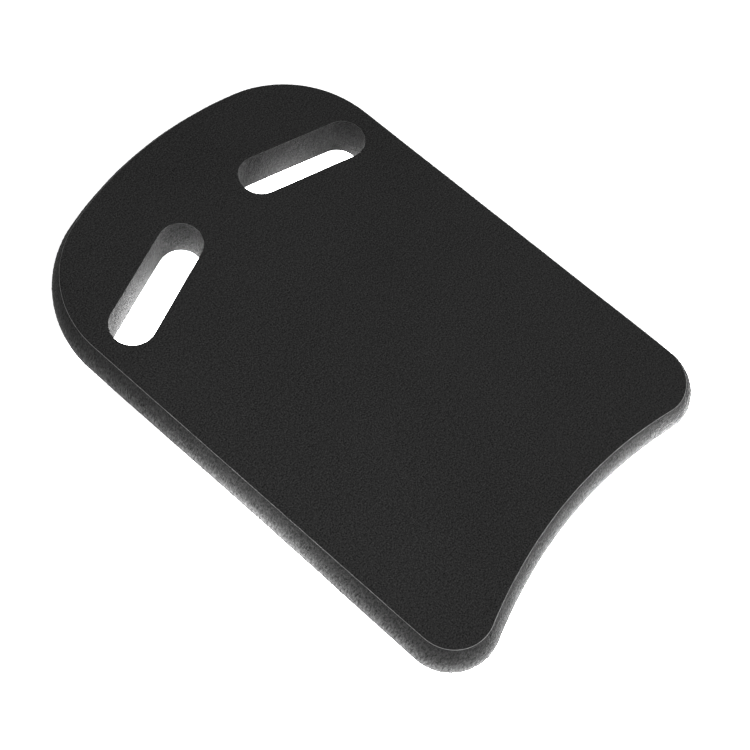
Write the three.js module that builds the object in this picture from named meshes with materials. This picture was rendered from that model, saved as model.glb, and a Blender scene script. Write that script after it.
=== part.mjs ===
// A swimming kickboard: a flat slab of closed-cell foam with a rounded nose, parallel sides,
// a hollowed tail and two slanted hand slots. It is laminated from four sheets, glued face to face:
// a smooth deck skin, two core sheets and a smooth base skin. After gluing, the outline is ground
// to a barrel-shaped wall, a little fuller at the tail, and the slots are cut straight through.
//
// Frame: millimetres, +Z up, +Y towards the nose, X across. The origin is the centre of the
// bounding box at the underside, where the board lies on a table.
import * as THREE from 'three';

// Driving dimensions, in millimetres and degrees. The outline's radii are those of the deck's edge,
// except where they name the widest level, which is halfway up.
const LENGTH = 407; // overall, at the widest level
const WIDTH = 280; // overall, at the widest level
const THICKNESS = 36;
const SKIN_THICKNESS = 1.5; // each of the two facing sheets
const SIDE_BULGE = 6.5; // how far the wall stands out past the deck's edge at the widest level
const TAIL_BULGE = 8.5; // the same at the tips of the tail corners
const NOSE_RADIUS = 274;
const SHOULDER_RADIUS = 78;
const TAIL_CORNER_RADIUS = 27.5;
const TAIL_HOLLOW_RADIUS = 347;
const WIDEST_CORNER_RADIUS = 32; // of the tail corners at the widest level
const WIDEST_HOLLOW_RADIUS = 360; // of the tail's hollow at the widest level
const SLOT_LENGTH = 99.5; // end to end
const SLOT_WIDTH = 31.5;
const SLOT_OFFSET = 72; // slot centre from the centre line
const SLOT_SETBACK = 81.5; // slot centre from the deck's nose tip
const SLOT_TILT = 17.7; // the outer end of each slot is turned back towards the tail

// How finely the round stretches are divided.
const NOSE_STEPS = 24;
const SHOULDER_STEPS = 18;
const CORNER_STEPS = 20;
const HOLLOW_STEPS = 24;
const SLOT_END_STEPS = 16;
const CORE_LEVELS = 5; // slices through the side bulge of one core sheet

// Worked out from the dimensions above.
const HALF_TURN = Math.PI;
const QUARTER_TURN = Math.PI / 2;
const deckNose = LENGTH / 2 - SIDE_BULGE;
const deckTail = TAIL_BULGE - LENGTH / 2;
const deckHalfWidth = WIDTH / 2 - SIDE_BULGE;
const middle = THICKNESS / 2;
const sideRadius = (SIDE_BULGE ** 2 + middle ** 2) / (2 * SIDE_BULGE);

// How much of its bulge the wall has at height z, from 0 at the deck and the base to 1 halfway up.
// The wall's section is an arc through both arrises.
function bulgeShare(z) {
  const bulge = Math.sqrt(sideRadius ** 2 - (z - middle) ** 2) - (sideRadius - SIDE_BULGE);
  return bulge / SIDE_BULGE;
}

// Points along a circular arc from one angle to the other, whichever way that turns.
function arc(centre, radius, from, to, steps) {
  const clockwise = to < from;
  return new THREE.EllipseCurve(centre.x, centre.y, radius, radius, from, to, clockwise).getPoints(steps);
}

// The board's outline where the wall has that share of its bulge, counter-clockwise from the right
// tail corner. The nose and the tail's hollow are arcs centred on the centre line, and each arc runs
// smoothly into the next. An arc that runs straight into the next one leaves its last point to it.
function boardOutline(share) {
  const growth = share * SIDE_BULGE;
  const noseRadius = NOSE_RADIUS + growth;
  const shoulderRadius = SHOULDER_RADIUS + growth;
  const cornerRadius = THREE.MathUtils.lerp(TAIL_CORNER_RADIUS, WIDEST_CORNER_RADIUS, share);
  const hollowRadius = THREE.MathUtils.lerp(TAIL_HOLLOW_RADIUS, WIDEST_HOLLOW_RADIUS, share);
  const halfWidth = deckHalfWidth + growth;

  const nose = new THREE.Vector2(0, deckNose + growth - noseRadius);
  const shoulderX = halfWidth - shoulderRadius;
  const shoulderRise = Math.sqrt((noseRadius - shoulderRadius) ** 2 - shoulderX ** 2);
  const shoulder = new THREE.Vector2(shoulderX, nose.y + shoulderRise);
  const cornerX = halfWidth - cornerRadius;
  const corner = new THREE.Vector2(cornerX, deckTail - share * TAIL_BULGE + cornerRadius);
  const hollowDrop = Math.sqrt((hollowRadius + cornerRadius) ** 2 - cornerX ** 2);
  const hollow = new THREE.Vector2(0, corner.y - hollowDrop);

  const mirrored = (point) => new THREE.Vector2(-point.x, point.y);
  const noseJoin = shoulder.clone().sub(nose).angle(); // the shoulder meets the nose
  const hollowJoin = corner.clone().sub(hollow).angle(); // the hollow meets the tail corner
  const cornerJoin = hollowJoin - HALF_TURN; // the same place, seen from the corner's centre
  const leftCorner = arc(mirrored(corner), cornerRadius, HALF_TURN, HALF_TURN - cornerJoin, CORNER_STEPS);
  return [
    ...arc(corner, cornerRadius, cornerJoin, 0, CORNER_STEPS),
    ...arc(shoulder, shoulderRadius, 0, noseJoin, SHOULDER_STEPS).slice(0, -1),
    ...arc(nose, noseRadius, noseJoin, HALF_TURN - noseJoin, NOSE_STEPS).slice(0, -1),
    ...arc(mirrored(shoulder), shoulderRadius, HALF_TURN - noseJoin, HALF_TURN, SHOULDER_STEPS),
    ...leftCorner.slice(0, -1),
    ...arc(hollow, hollowRadius, HALF_TURN - hollowJoin, hollowJoin, HOLLOW_STEPS).slice(0, -1),
  ];
}

// A hand slot's outline, clockwise because it is a hole: two half rounds joined by straight sides.
// `side` is 1 for the right slot and -1 for the left one.
function slotOutline(side) {
  const radius = SLOT_WIDTH / 2;
  const tilt = -side * THREE.MathUtils.degToRad(SLOT_TILT);
  const centre = new THREE.Vector2(side * SLOT_OFFSET, deckNose - SLOT_SETBACK);
  const reach = new THREE.Vector2(Math.cos(tilt), Math.sin(tilt)).multiplyScalar(SLOT_LENGTH / 2 - radius);
  const rightEnd = centre.clone().add(reach);
  const leftEnd = centre.clone().sub(reach);
  return [
    ...arc(rightEnd, radius, tilt + QUARTER_TURN, tilt - QUARTER_TURN, SLOT_END_STEPS),
    ...arc(leftEnd, radius, tilt - QUARTER_TURN, tilt - 3 * QUARTER_TURN, SLOT_END_STEPS),
  ];
}

// Quads between rings that are stacked from low to high and have equally many points.
function addWall(rings, positions, triangles) {
  const start = positions.length / 3;
  const count = rings[0].outline.length;
  for (const { outline, z } of rings) {
    outline.forEach((point) => positions.push(point.x, point.y, z));
  }
  for (let level = 0; level < rings.length - 1; level++) {
    for (let i = 0; i < count; i++) {
      const low = start + level * count + i;
      const lowNext = start + level * count + ((i + 1) % count);
      triangles.push(low, lowNext, lowNext + count, low, lowNext + count, low + count);
    }
  }
}

// The flat face inside an outline, with the slots left open.
function addCap({ outline, z }, slots, facesDown, positions, triangles) {
  const start = positions.length / 3;
  [outline, ...slots].flat().forEach((point) => positions.push(point.x, point.y, z));
  for (const [a, b, c] of THREE.ShapeUtils.triangulateShape(outline, slots)) {
    triangles.push(start + a, start + (facesDown ? c : b), start + (facesDown ? b : c));
  }
}

// One closed sheet that starts at height zero and is laid into the board at height `bottom`.
// Its edge follows the side bulge in `levels` slices, and its slot walls are straight.
function sheetGeometry(bottom, thickness, levels) {
  const slots = [slotOutline(-1), slotOutline(1)];
  const rings = [];
  for (let level = 0; level <= levels; level++) {
    const z = (thickness * level) / levels;
    rings.push({ outline: boardOutline(bulgeShare(bottom + z)), z });
  }
  const positions = [];
  const triangles = [];
  addWall(rings, positions, triangles);
  for (const outline of slots) {
    addWall([{ outline, z: 0 }, { outline, z: thickness }], positions, triangles);
  }
  addCap(rings[0], slots, true, positions, triangles);
  addCap(rings[levels], slots, false, positions, triangles);
  const geometry = new THREE.BufferGeometry();
  geometry.setAttribute('position', new THREE.Float32BufferAttribute(positions, 3));
  geometry.setIndex(triangles);
  geometry.computeVertexNormals();
  return geometry;
}

// Closed-cell foam. The skins are smooth and matt, and the ground core is a little lighter.
const skinFoam = new THREE.MeshStandardMaterial({ color: 0x2b2b2b, roughness: 0.75, metalness: 0 });
const coreFoam = new THREE.MeshStandardMaterial({ color: 0x343434, roughness: 0.95, metalness: 0 });

// The sheets from the table up. Each rests on the one below, face to face.
const CORE_THICKNESS = middle - SKIN_THICKNESS;
const sheets = [
  { name: 'base_skin', thickness: SKIN_THICKNESS, levels: 1, material: skinFoam },
  { name: 'lower_core', thickness: CORE_THICKNESS, levels: CORE_LEVELS, material: coreFoam },
  { name: 'upper_core', thickness: CORE_THICKNESS, levels: CORE_LEVELS, material: coreFoam },
  { name: 'deck_skin', thickness: SKIN_THICKNESS, levels: 1, material: skinFoam },
];

const kickboard = new THREE.Group();
let bottom = 0;
for (const { name, thickness, levels, material } of sheets) {
  const sheet = new THREE.Mesh(sheetGeometry(bottom, thickness, levels), material);
  sheet.name = name;
  sheet.position.z = bottom;
  kickboard.add(sheet);
  bottom += thickness;
}

export default kickboard;
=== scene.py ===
import math

import bpy
import numpy as np
from mathutils import Matrix, Vector, noise
from mathutils.geometry import delaunay_2d_cdt
from mathutils.kdtree import KDTree


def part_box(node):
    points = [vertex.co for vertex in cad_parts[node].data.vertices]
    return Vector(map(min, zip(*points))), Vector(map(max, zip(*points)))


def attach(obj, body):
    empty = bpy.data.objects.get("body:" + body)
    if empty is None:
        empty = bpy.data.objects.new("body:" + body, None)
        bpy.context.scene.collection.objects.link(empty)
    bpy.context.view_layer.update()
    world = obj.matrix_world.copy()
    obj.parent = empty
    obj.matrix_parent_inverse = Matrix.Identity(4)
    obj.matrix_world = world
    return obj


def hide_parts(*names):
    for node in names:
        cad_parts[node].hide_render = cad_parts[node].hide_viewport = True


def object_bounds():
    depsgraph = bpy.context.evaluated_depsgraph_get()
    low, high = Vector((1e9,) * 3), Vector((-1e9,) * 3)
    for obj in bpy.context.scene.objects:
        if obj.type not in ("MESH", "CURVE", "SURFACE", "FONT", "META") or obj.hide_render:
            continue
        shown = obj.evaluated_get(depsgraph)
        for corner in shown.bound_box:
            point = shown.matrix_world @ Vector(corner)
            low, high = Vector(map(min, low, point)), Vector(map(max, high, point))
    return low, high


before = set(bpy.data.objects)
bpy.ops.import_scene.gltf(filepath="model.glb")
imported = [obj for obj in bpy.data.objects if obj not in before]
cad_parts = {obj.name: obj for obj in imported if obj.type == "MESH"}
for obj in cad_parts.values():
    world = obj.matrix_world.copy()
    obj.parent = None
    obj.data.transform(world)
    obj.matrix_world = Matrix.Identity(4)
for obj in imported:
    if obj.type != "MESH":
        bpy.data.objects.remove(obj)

cad_low, cad_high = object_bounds()

# Metres throughout, in the frame's axes: +Y towards the nose, +Z up from the table.
MM = 0.001

# The outline, whose nose and shoulder radii are those of the deck's edge, and the hand slots.
SIDE_BULGE, TAIL_BULGE = 6.5 * MM, 8.5 * MM  # at the widest level, halfway up
NOSE_RADIUS = 274 * MM
SHOULDER_RADIUS = 78 * MM
CORNER_RADII = 27.5 * MM, 32 * MM  # of the tail corners, at the deck's edge and at the widest level
HOLLOW_RADII = 347 * MM, 360 * MM  # of the tail's hollow, at the same levels
SLOT_LENGTH = 99.5 * MM
SLOT_WIDTH = 31.5 * MM
SLOT_OFFSET = 72 * MM
SLOT_SETBACK = 81.5 * MM
SLOT_TILT = math.radians(17.7)

# The fine shape that the plain CAD solids leave out.
ARRIS_RADIUS = 0.2 * MM
ARRIS_STEPS = 4
GLUE_GROOVE, GLUE_RISE = 0.01 * MM, 0.1 * MM
SHARP_ANGLE = math.radians(50)
TRIANGLES_BUT_HOLES = 2  # the kind of answer asked of delaunay_2d_cdt
STREAK_DEPTH, STREAK_WIDTH, STREAK_HEIGHT = 0.22 * MM, 1.2 * MM, 6 * MM
PIT_DEPTH, PIT_SIZE = 0.05 * MM, 1.2 * MM
WAVE_DEPTH, WAVE_SIZE = 0.15 * MM, 28 * MM
ROUGH_FROM = 2.5 * MM  # below a free arris the wall is smooth, and this far down it is fully rough
SLOT_ROUGHNESS = 0.3  # the slots are cut and not ground
DECK_WAVE_DEPTH, DECK_WAVE_SIZE = 0.12 * MM, 22 * MM

# The side wall stands out a little further about the left tail corner, where it was ground back less.
SWELL, SWELL_REACH = 1.2 * MM, 85 * MM
SWELL_PLACE = (-115 * MM, -185 * MM)

# The foam's looks. Shades are shares of light sent back, the grain and fibre sizes are those of noise,
# and the band is the pale line at an arris.
SKIN_SHADE = 0.0195
SKIN_GRAIN, SKIN_MOTTLE, SKIN_DRIFT = 1.0 * MM, 7 * MM, 80 * MM
SKIN_RELIEF = 0.08 * MM
WALL_FIBRE, WALL_GRAIN, WALL_PATCH = 1.0 * MM, 1.0 * MM, 22 * MM
FIBRE_STRETCH = (1.6, 1, 6)  # along X, Y and Z: fibres run up the wall, and are broader at the tail
GRAIN_STRETCH = (1.3, 1, 1.6)
TORN_SPAN = (1 * MM, 10 * MM)  # depths below the arris between which the fibres come to stand out
PAINTED_BELLY_SPAN = (3 * MM, 18 * MM)  # and between which painted light pales the wall towards mid-height
PAINTED_BELLY_CURVE = 2.2
WALL_RELIEF = 0.25 * MM
DARKEST = 0.1  # of a wall's shade, in its darkest grains
NOISE_MIDDLE = (0.3, 0.7)
BAND_START = (0.13 * MM, 0.17 * MM)  # how far below the arris it comes in
BAND_END = (0.3 * MM, 0.36 * MM)  # and fades out
BAND_VARIATION_SIZE = 6 * MM  # the size of its randomly brighter and duller stretches
FOAM_SPECULAR = 0.12

# The studio's light, in the same units as the picture's white, which is 1.
FLOOR_SECTORS = 64
FLOOR_RINGS = (0.04, 0.08, 0.12, 0.16, 0.2, 0.25, 0.32, 0.42, 0.6, 1, 2, 4, 8)
FLOOR_GAP = 0.2 * MM
FLOOR_GLOW = 0.78
FLOOR_GREY = (0.8, 0.8, 0.8, 1)
WHITE = (1, 1, 1, 1)
GLOW_PATCHES = (  # where, how far each reaches, and how strong it is
    # Beside the left side.
    ((-0.2, -0.12), 0.13, 3),
    ((-0.2, -0.03), 0.12, 6.5),
    ((-0.175, -0.045), 0.08, 7),
    ((-0.17, -0.22), 0.11, 7),
    # Behind the tail.
    ((-0.11, -0.245), 0.09, 14),
    ((-0.01, -0.23), 0.12, 28),
    ((0.12, -0.24), 0.1, 31),
    ((0.14, -0.225), 0.05, 26),
    # Under the left slot.
    ((-0.106, 0.118), 0.04, 13),
    ((-0.083, 0.1255), 0.04, 18),
    ((-0.061, 0.1325), 0.035, 9),
    ((-0.025, 0.131), 0.018, 26),
    # Under the right slot.
    ((0.05, 0.1355), 0.04, 4),
    ((0.072, 0.129), 0.04, 10),
    ((0.095, 0.12), 0.035, 4),
    ((0.119, 0.1005), 0.018, 18),
)
HORIZON_LIGHT = 0.9
CEILING_LIGHT = 0.035
HORIZON_SPAN = (0.04, 0.2)  # heights on the sky, of 1, between which the light falls off
SOFTBOXES = (  # where, how wide, and how many watts
    ((-0.45, -0.1, 0.5), 0.3, 2.0),
    ((2.8, -0.5, 2.8), 1.3, 80),
    ((1.4, -2.45, 2.8), 1.3, 35),
    ((0.7, -3.9, 0.7), 1.3, 65),
)

# How finely the meshes are divided.
CORNER_POINTS, SIDE_POINTS, SHOULDER_POINTS = 125, 600, 230
NOSE_POINTS, HOLLOW_POINTS = 350, 450
SLOT_END_POINTS, SLOT_SIDE_POINTS = 110, 150
LEVEL_STEP = 1.0 * MM  # up the wall
DECK_STEP = 3.0 * MM  # over the deck and the base

# The camera's place and lens.
CAMERA_AZIMUTH = math.radians(-64.83)
CAMERA_ELEVATION = math.radians(63.56)
CAMERA_ROLL = math.radians(17.13)
CAMERA_DISTANCE = 0.8185
CAMERA_AIM = (-0.0219, -0.0330)
LENS, SENSOR = 60, 36  # millimetres

# Worked out from the frame's box.
half_width = cad_high.x - SIDE_BULGE
nose_tip = cad_high.y - SIDE_BULGE
tail_tip = cad_low.y + TAIL_BULGE
middle = (cad_low.z + cad_high.z) / 2
side_radius = (SIDE_BULGE ** 2 + middle ** 2) / (2 * SIDE_BULGE)


# ---- Outlines: points with normals that point out of the foam ----

def arc_run(centre, radius, start, stop, facing, count):
    """An arc without its last point. facing is 1 where the foam is inside the arc, and -1 outside."""
    angles = start + (stop - start) * np.arange(count) / count
    spokes = np.column_stack([np.cos(angles), np.sin(angles)])
    return np.array(centre) + radius * spokes, facing * spokes


def line_run(start, stop, count):
    """A straight stretch without its last point, with the foam on its left."""
    along = np.array(stop) - np.array(start)
    points = np.array(start) + np.outer(np.arange(count) / count, along)
    normal = np.array([along[1], -along[0]]) / np.linalg.norm(along)
    return points, np.tile(normal, (count, 1))


def closed_path(runs):
    """Runs of points and normals, joined end to end."""
    points, normals = zip(*runs)
    return np.concatenate(points), np.concatenate(normals)


def board_path(share, inset):
    """The board's outline where the wall has that share of its bulge, counter-clockwise from the right
    tail corner, with the swell, and drawn in by inset. Each arc runs into the next."""
    growth = share * SIDE_BULGE
    nose_radius = NOSE_RADIUS + growth
    shoulder_radius = SHOULDER_RADIUS + growth
    corner_radius = np.interp(share, (0, 1), CORNER_RADII)
    hollow_radius = np.interp(share, (0, 1), HOLLOW_RADII)
    side = half_width + growth

    nose = np.array([0, nose_tip + growth - nose_radius])
    shoulder_x = side - shoulder_radius
    rise = math.sqrt((nose_radius - shoulder_radius) ** 2 - shoulder_x ** 2)
    shoulder = np.array([shoulder_x, nose[1] + rise])
    corner = np.array([side - corner_radius, tail_tip - share * TAIL_BULGE + corner_radius])
    drop = math.sqrt((hollow_radius + corner_radius) ** 2 - corner[0] ** 2)
    hollow = np.array([0, corner[1] - drop])

    nose_join = math.atan2(rise, shoulder_x)
    hollow_join = math.atan2(drop, corner[0])
    left = np.array([-1, 1])
    turn = math.pi
    points, normals = closed_path([
        arc_run(corner, corner_radius, hollow_join - turn, 0, 1, CORNER_POINTS),
        line_run((side, corner[1]), (side, shoulder[1]), SIDE_POINTS),
        arc_run(shoulder, shoulder_radius, 0, nose_join, 1, SHOULDER_POINTS),
        arc_run(nose, nose_radius, nose_join, turn - nose_join, 1, NOSE_POINTS),
        arc_run(shoulder * left, shoulder_radius, turn - nose_join, turn, 1, SHOULDER_POINTS),
        line_run((-side, shoulder[1]), (-side, corner[1]), SIDE_POINTS),
        arc_run(corner * left, corner_radius, turn, 2 * turn - hollow_join, 1, CORNER_POINTS),
        arc_run(hollow, hollow_radius, turn - hollow_join, hollow_join, -1, HOLLOW_POINTS),
    ])
    away = np.linalg.norm(points - SWELL_PLACE, axis=1) / SWELL_REACH
    out = share * SWELL * np.exp(-away ** 2) - inset
    return points + out[:, None] * normals, normals


def slot_path(side, inset):
    """A hand slot's edge, clockwise, and widened by inset. side is 1 for the right slot and -1 for the
    left one."""
    radius = SLOT_WIDTH / 2
    tilt = -side * SLOT_TILT
    quarter = math.pi / 2
    centre = np.array([side * SLOT_OFFSET, nose_tip - SLOT_SETBACK])
    reach = (SLOT_LENGTH / 2 - radius) * np.array([math.cos(tilt), math.sin(tilt)])
    across = radius * np.array([-math.sin(tilt), math.cos(tilt)])
    right, left = centre + reach, centre - reach
    points, normals = closed_path([
        arc_run(right, radius, tilt + quarter, tilt - quarter, -1, SLOT_END_POINTS),
        line_run(right - across, left - across, SLOT_SIDE_POINTS),
        arc_run(left, radius, tilt - quarter, tilt - 3 * quarter, -1, SLOT_END_POINTS),
        line_run(left + across, right + across, SLOT_SIDE_POINTS),
    ])
    return points - inset * normals, normals


# ---- Foam sheets ----

FLAT_FACE, SIDE_WALL, SLOT_WALL = range(3)  # the kinds of face, which are also material slots


def bulge_share(z):
    """How much of its bulge the side wall has at height z: its section is an arc through both arrises."""
    return 1 - (side_radius - math.sqrt(side_radius ** 2 - (z - middle) ** 2)) / SIDE_BULGE


def depth_under(z):
    """How far height z is from the nearer of the deck and the base."""
    return min(cad_high.z - z, z - cad_low.z)


def relief_at(x, y, z):
    """How far the ground wall stands out at a place: streaks up the wall, pits and slow waves."""
    streak = noise.noise(Vector((x / STREAK_WIDTH, y / STREAK_WIDTH, z / STREAK_HEIGHT)))
    pit = noise.noise(Vector((x, y, z)) / PIT_SIZE)
    wave = noise.noise(Vector((x, y, z)) / WAVE_SIZE)
    return STREAK_DEPTH * streak + PIT_DEPTH * pit + WAVE_DEPTH * wave


def roughened(path, z, share):
    """A closed ring of points along a path at height z, moved by a share of the relief."""
    points, normals = path
    if share:
        relief = np.array([relief_at(x, y, z) for x, y in points])
        points = points + share * relief[:, None] * normals
    return [(x, y, z) for x, y in points]


def wall_rings(z, inset):
    """The rings of the side wall and of both slots at height z, drawn into the foam by inset."""
    share = min(1, max(0, depth_under(z) - ARRIS_RADIUS) / ROUGH_FROM)
    side = roughened(board_path(bulge_share(z), inset), z, share)
    slots = [roughened(slot_path(which, inset), z, share * SLOT_ROUGHNESS) for which in (-1, 1)]
    return side, *slots


def sheet_levels(bottom, top):
    """(height, inset) of each ring of a sheet, from low to high. A free arris is rounded, and a glued
    one has a fine groove."""
    turns = [math.pi / 2 * i / ARRIS_STEPS for i in range(ARRIS_STEPS + 1)]
    rounded = [(ARRIS_RADIUS * (1 - math.cos(t)), ARRIS_RADIUS * (1 - math.sin(t))) for t in turns]
    glued = [(0, GLUE_GROOVE), (GLUE_RISE, 0)]
    low_edge = rounded if depth_under(bottom) < ARRIS_RADIUS else glued
    high_edge = rounded if depth_under(top) < ARRIS_RADIUS else glued
    lower = [(bottom + rise, inset) for rise, inset in low_edge]
    upper = [(top - drop, inset) for drop, inset in reversed(high_edge)]
    first, last = lower[-1][0], upper[0][0]
    count = max(1, round((last - first) / LEVEL_STEP))
    between = [(first + (last - first) * i / count, 0) for i in range(1, count)]
    return lower + between + upper


def points_inside(step):
    """A grid of points within the deck's edge and outside the slots, clear of both."""
    paths = [board_path(0, 0), slot_path(-1, 0), slot_path(1, 0)]
    points = np.concatenate([path[0] for path in paths])
    normals = np.concatenate([path[1] for path in paths])
    tree = KDTree(len(points))
    for i, (x, y) in enumerate(points):
        tree.insert((x, y, 0), i)
    tree.balance()
    inside = []
    for x in np.arange(cad_low.x, cad_high.x, step):
        for y in np.arange(cad_low.y, cad_high.y, step):
            _, i, _ = tree.find((x, y, 0))
            if np.dot((x, y) - points[i], normals[i]) < -step / 2:
                inside.append((x, y))
    return inside


def waved(x, y, z):
    """The deck and the base lie in slow, shallow waves, which fade out towards the core."""
    share = max(0, 1 - depth_under(z) / skin_thickness)
    side = 1 if z > middle else -1
    wave = noise.noise(Vector((x / DECK_WAVE_SIZE, y / DECK_WAVE_SIZE, side)))
    return x, y, z + side * share * DECK_WAVE_DEPTH * (wave - 1) / 2


def cap_faces(loops, inner):
    """Triangles, facing up, between an outline and the slots, with the points inside as corners too.
    The corners are numbered in the order that they are given in."""
    points = [Vector(p[:2]) for loop in loops for p in loop] + [Vector(p) for p in inner]
    outlines, start = [], 0
    for loop in loops:
        outlines.append(list(range(start, start + len(loop))))
        start += len(loop)
    _, _, faces, origins, *_ = delaunay_2d_cdt(points, [], outlines, TRIANGLES_BUT_HOLES, 1e-9)
    return [[origins[corner][0] for corner in face] for face in faces]


def sheet_piece(name, replaced, materials):
    """A closed foam sheet in a CAD sheet's place. materials are in the order of the kinds of face."""
    bottom, top = (corner.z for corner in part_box(replaced))
    levels = [wall_rings(z, inset) for z, inset in sheet_levels(bottom, top)]
    verts, faces, kinds = [], [], []
    lowest, highest = [], []  # the numbers of the lowest and the highest rings' points
    for number, rings in enumerate(zip(*levels)):
        start, count = len(verts), len(rings[0])
        verts += [point for ring in rings for point in ring]
        for low in range(start, len(verts) - count, count):
            for i in range(count):
                j = (i + 1) % count
                faces.append((low + i, low + j, low + count + j, low + count + i))
        kinds += [SIDE_WALL if number == 0 else SLOT_WALL] * (len(faces) - len(kinds))
        lowest.append(range(start, start + count))
        highest.append(range(len(verts) - count, len(verts)))
    for rings, z, facing in ((lowest, bottom, -1), (highest, top, 1)):
        inner = grid if depth_under(z) < ARRIS_RADIUS else []
        numbers = [n for ring in rings for n in ring] + list(range(len(verts), len(verts) + len(inner)))
        made = cap_faces([[verts[n] for n in ring] for ring in rings], inner)
        verts += [(x, y, z) for x, y in inner]
        faces += [[numbers[corner] for corner in face][::facing] for face in made]
    kinds += [FLAT_FACE] * (len(faces) - len(kinds))
    mesh = bpy.data.meshes.new(name)
    mesh.from_pydata([waved(*v) for v in verts], [], faces)
    for material in materials:
        mesh.materials.append(material)
    mesh.polygons.foreach_set("material_index", kinds)
    mesh.shade_smooth()
    mesh.set_sharp_from_angle(angle=SHARP_ANGLE)
    piece = bpy.data.objects.new(name, mesh)
    bpy.context.scene.collection.objects.link(piece)
    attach(piece, "root")
    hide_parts(replaced)
    return piece


# ---- Materials: all are procedural, in the frame's own coordinates ----

def node(tree, kind, settings=(), **inputs):
    """A new node. settings are its properties, and an input is a number, a colour or another's output."""
    made = tree.nodes.new(kind)
    for key, value in dict(settings).items():
        setattr(made, key, value)
    for key, value in inputs.items():
        socket = made.inputs[int(key[1:])] if key[0] == "_" else made.inputs[key.replace("_", " ")]
        if isinstance(value, bpy.types.NodeSocket):
            tree.links.new(value, socket)
        else:
            socket.default_value = value
    return made


def scaled_noise(tree, place, size, detail=2.0, roughness=0.5, stretch=(1, 1, 1)):
    """Noise whose features are about `size` across, longer along an axis where stretch is above 1."""
    scale = [1 / (size * s) for s in stretch]
    spread = node(tree, "ShaderNodeVectorMath", {"operation": "MULTIPLY"}, _0=place, _1=scale)
    made = node(tree, "ShaderNodeTexNoise", Vector=spread.outputs[0], Scale=1.0, Detail=detail,
                Roughness=roughness)
    return made.outputs["Fac"]


def ranged(tree, value, low, high, to_low, to_high, smooth=False):
    """value taken from the span low to high onto the span to_low to to_high, and held at its ends."""
    kind = "SMOOTHSTEP" if smooth else "LINEAR"
    made = node(tree, "ShaderNodeMapRange", {"interpolation_type": kind}, Value=value, From_Min=low,
                From_Max=high, To_Min=to_low, To_Max=to_high)
    return made.outputs["Result"]


def mathed(tree, operation, a, b=0.0):
    """What a Math node makes of a and b."""
    return node(tree, "ShaderNodeMath", {"operation": operation}, _0=a, _1=b).outputs[0]


def greys(tree, value):
    """A number as a grey colour."""
    return node(tree, "ShaderNodeCombineColor", _0=value, _1=value, _2=value).outputs[0]


def new_foam(name):
    """An empty foam material: its tree, its shader and the place in the frame."""
    material = bpy.data.materials.new(name)
    material.use_nodes = True
    tree = material.node_tree
    shader = tree.nodes["Principled BSDF"]
    place = tree.nodes.new("ShaderNodeTexCoord").outputs["Object"]
    return material, tree, shader, place


def wandering(tree, shade, *parts):
    """A shade that wanders about its middle value. Each part is a noise and how far the shade moves
    over the noise's whole span."""
    value = shade - sum(amount for _, amount in parts) / 2
    for fac, amount in parts:
        value = node(tree, "ShaderNodeMath", {"operation": "MULTIPLY_ADD"}, _0=fac, _1=amount,
                     _2=value).outputs[0]
    return value


def finish_foam(tree, shader, shade, relief, relief_depth, roughness, sheen, sheen_roughness):
    """Joins a foam's grey, relief and roughness to its shader. Foam has next to no gloss."""
    bump = node(tree, "ShaderNodeBump", Height=relief, Distance=relief_depth, Strength=1.0)
    tree.links.new(greys(tree, shade), shader.inputs["Base Color"])
    tree.links.new(bump.outputs["Normal"], shader.inputs["Normal"])
    tree.links.new(roughness, shader.inputs["Roughness"])
    shader.inputs["Specular IOR Level"].default_value = FOAM_SPECULAR
    shader.inputs["Sheen Weight"].default_value = sheen
    shader.inputs["Sheen Roughness"].default_value = sheen_roughness
    shader.inputs["Sheen Tint"].default_value = WHITE


def contrasted(tree, fac):
    """A noise's middle range spread over 0 to 1."""
    return ranged(tree, fac, *NOISE_MIDDLE, 0, 1)


def depth_below_arris(tree, place):
    """How far a place is from the nearer of the deck's and the base's plane."""
    z = node(tree, "ShaderNodeSeparateXYZ", _0=place).outputs["Z"]
    return mathed(tree, "MINIMUM", mathed(tree, "SUBTRACT", cad_high.z, z), z)


def arris_band(tree, place, depth):
    """1 along the pale line just inside the deck's and the base's edge, less in its duller stretches, and
    0 elsewhere."""
    begun = ranged(tree, depth, *BAND_START, 0, 1, True)
    ended = ranged(tree, depth, *BAND_END, 1, 0, True)
    band_strength = ranged(tree, scaled_noise(tree, place, BAND_VARIATION_SIZE), 0.3, 0.6, 0.7, 1)
    return mathed(tree, "MULTIPLY", mathed(tree, "MULTIPLY", begun, ended), band_strength)


def skin_foam():
    """The moulded faces: nearly black and matt, with a fine even grain and faint mottling."""
    material, tree, shader, place = new_foam("skin_foam")
    grain = contrasted(tree, scaled_noise(tree, place, SKIN_GRAIN, 2.0, 0.7))
    mottle = contrasted(tree, scaled_noise(tree, place, SKIN_MOTTLE, 3.0))
    drift = contrasted(tree, scaled_noise(tree, place, SKIN_DRIFT))
    wander = wandering(tree, SKIN_SHADE, (grain, SKIN_SHADE * 2.0), (mottle, SKIN_SHADE * 0.14),
                       (drift, SKIN_SHADE * 0.12))
    roughness = ranged(tree, mottle, 0, 1, 0.8, 0.95)
    finish_foam(tree, shader, wander, grain, SKIN_RELIEF, roughness, 0.02, 0.6)
    return material


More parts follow.
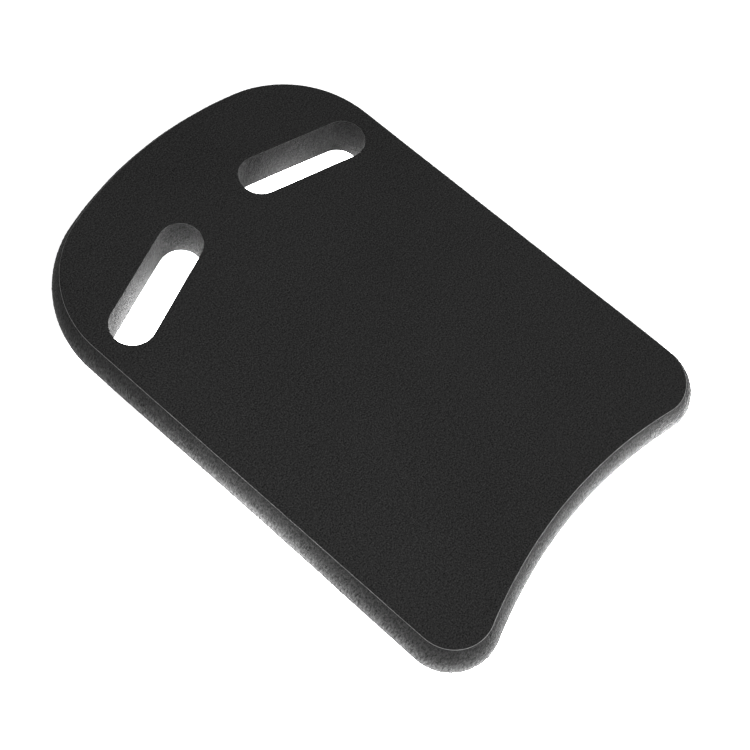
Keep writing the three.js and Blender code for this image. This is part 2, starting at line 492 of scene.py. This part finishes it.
def wall_foam(name, arris_shade, painted_belly_light, fibre_share, grain_share, band_shade, sheen):
    """Foam from inside the block, laid open by grinding or by cutting. It has a fine grain, and torn
    fibres that run up the wall and stand out more below the arris. Its shade pales from that at the arris
    to that given for halfway up; this paling is painted light, standing in for the floor's light on the
    wall's lower half."""
    material, tree, shader, place = new_foam(name)
    depth = depth_below_arris(tree, place)
    fibre = contrasted(tree, scaled_noise(tree, place, WALL_FIBRE, 2.0, 0.6, FIBRE_STRETCH))
    torn = ranged(tree, depth, *TORN_SPAN, 0.3, 1)
    swing = mathed(tree, "SUBTRACT", fibre, 0.5)
    fibre = mathed(tree, "ADD", mathed(tree, "MULTIPLY", swing, torn), 0.5)
    grain = contrasted(tree, scaled_noise(tree, place, WALL_GRAIN, 2.0, 0.7, GRAIN_STRETCH))
    patch = contrasted(tree, scaled_noise(tree, place, WALL_PATCH, 2.0))
    # Painted light: the shade pales with depth towards mid-height, standing in for the floor's light on
    # the lower wall.
    painted_belly_share = mathed(tree, "POWER", ranged(tree, depth, *PAINTED_BELLY_SPAN, 0, 1), PAINTED_BELLY_CURVE)
    shade = ranged(tree, painted_belly_share, 0, 1, arris_shade, painted_belly_light)
    wander = wandering(tree, 1.0, (fibre, fibre_share), (grain, grain_share), (patch, 0.15))
    grey = mathed(tree, "MULTIPLY", shade, mathed(tree, "MAXIMUM", wander, DARKEST))
    band_strength = mathed(tree, "MULTIPLY", arris_band(tree, place, depth), band_shade)
    relief = wandering(tree, 0.5, (fibre, 1.0), (grain, 1.0))
    roughness = ranged(tree, patch, 0, 1, 0.9, 1.0)
    grey = mathed(tree, "ADD", grey, band_strength)
    finish_foam(tree, shader, grey, relief, WALL_RELIEF, roughness, sheen, 0.35)
    return material


# ---- The board ----

grid = points_inside(DECK_STEP)
skin_thickness = cad_high.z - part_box("deck_skin")[0].z

skin = skin_foam()
# The ground wall's paler shade halfway up is painted light. The cut wall's shade is the same there as at
# its arris.
ground = wall_foam("ground_foam", arris_shade=0.027, painted_belly_light=0.08, fibre_share=1.6, grain_share=1.2,
                   band_shade=0.25, sheen=0.03)
cut = wall_foam("cut_foam", arris_shade=0.0135, painted_belly_light=0.0135, fibre_share=0.3, grain_share=2.7,
                band_shade=0.14, sheen=0.05)

for name, replaced, slot, face in (
    ("base_skin_foam", "base_skin", "skin_foam", skin),
    ("lower_core_foam", "lower_core", "core_foam", ground),
    ("upper_core_foam", "upper_core", "core_foam", ground),
    ("deck_skin_foam", "deck_skin", "skin_foam", skin),
):
    sheet_piece(name, replaced, (face, ground, cut))


# ---- The studio: a luminous floor, four soft lights and a sky that is dim overhead ----

def glow_patch(tree, place, centre, reach, strength):
    """Light that is `strength` at a point of the floor and fades away within `reach` of it."""
    away = node(tree, "ShaderNodeVectorMath", {"operation": "DISTANCE"}, _0=place, _1=(*centre, 0))
    return ranged(tree, away.outputs["Value"], 0, reach, strength, 0, True)


def floor_piece():
    """A luminous floor, brighter beside the board's left side, behind its tail and under its slots. Its
    mesh is finer near the board, so that light is sampled well there."""
    count = FLOOR_SECTORS
    turns = np.arange(count) * 2 * math.pi / count
    verts = [(0, 0, 0)] + [(r * math.cos(t), r * math.sin(t), 0) for r in FLOOR_RINGS for t in turns]
    faces = [(0, 1 + i, 1 + (i + 1) % count) for i in range(count)]
    for ring in range(len(FLOOR_RINGS) - 1):
        low = 1 + ring * count
        for i in range(count):
            j = (i + 1) % count
            faces.append((low + i, low + count + i, low + count + j, low + j))
    mesh = bpy.data.meshes.new("floor")
    mesh.from_pydata(verts, [], faces)
    material = bpy.data.materials.new("floor_glow")
    material.use_nodes = True
    tree = material.node_tree
    place = tree.nodes.new("ShaderNodeTexCoord").outputs["Object"]
    glow = FLOOR_GLOW
    for patch in GLOW_PATCHES:
        glow = mathed(tree, "ADD", glow, glow_patch(tree, place, *patch))
    shader = tree.nodes["Principled BSDF"]
    shader.inputs["Base Color"].default_value = FLOOR_GREY
    shader.inputs["Roughness"].default_value = 1.0
    shader.inputs["Emission Color"].default_value = WHITE
    tree.links.new(glow, shader.inputs["Emission Strength"])
    mesh.materials.append(material)
    floor = bpy.data.objects.new("floor", mesh)
    floor.location.z = cad_low.z - FLOOR_GAP
    bpy.context.scene.collection.objects.link(floor)


def add_softbox(place, size, power):
    """A round soft light that faces the board."""
    data = bpy.data.lights.new("softbox", "AREA")
    data.shape = "DISK"
    data.size = size
    data.energy = power
    light = bpy.data.objects.new("softbox", data)
    spot = Vector(place)
    light.visible_camera = False
    light.matrix_world = Matrix.Translation(spot) @ spot.to_track_quat("Z", "Y").to_matrix().to_4x4()
    bpy.context.scene.collection.objects.link(light)


def add_world():
    """Light from all round, pale at the horizon and dim overhead."""
    world = bpy.data.worlds.new("studio")
    world.use_nodes = True
    bpy.context.scene.world = world
    tree = world.node_tree
    tree.nodes.clear()
    direction = tree.nodes.new("ShaderNodeTexCoord").outputs["Generated"]
    height = node(tree, "ShaderNodeSeparateXYZ", _0=direction).outputs["Z"]
    strength = ranged(tree, height, *HORIZON_SPAN, HORIZON_LIGHT, CEILING_LIGHT, True)
    light = node(tree, "ShaderNodeBackground", Color=WHITE, Strength=strength)
    node(tree, "ShaderNodeOutputWorld", Surface=light.outputs[0])


def add_camera():
    """Looks down at the board from its left, a little behind it, with the nose to the upper left."""
    across = math.cos(CAMERA_ELEVATION)
    back = Vector((
        math.sin(CAMERA_AZIMUTH) * across,
        -math.cos(CAMERA_AZIMUTH) * across,
        math.sin(CAMERA_ELEVATION),
    ))
    data = bpy.data.cameras.new("camera")
    data.lens = LENS
    data.sensor_width = SENSOR
    data.clip_start = 0.01
    camera = bpy.data.objects.new("camera", data)
    turn = back.to_track_quat("Z", "Y").to_matrix() @ Matrix.Rotation(CAMERA_ROLL, 3, "Z")
    aim = Vector((*CAMERA_AIM, cad_high.z))
    camera.matrix_world = Matrix.Translation(aim + CAMERA_DISTANCE * back) @ turn.to_4x4()
    bpy.context.scene.collection.objects.link(camera)
    bpy.context.scene.camera = camera


floor_piece()
add_world()
for softbox in SOFTBOXES:
    add_softbox(*softbox)
add_camera()
bpy.context.scene.view_settings.view_transform = "Standard"
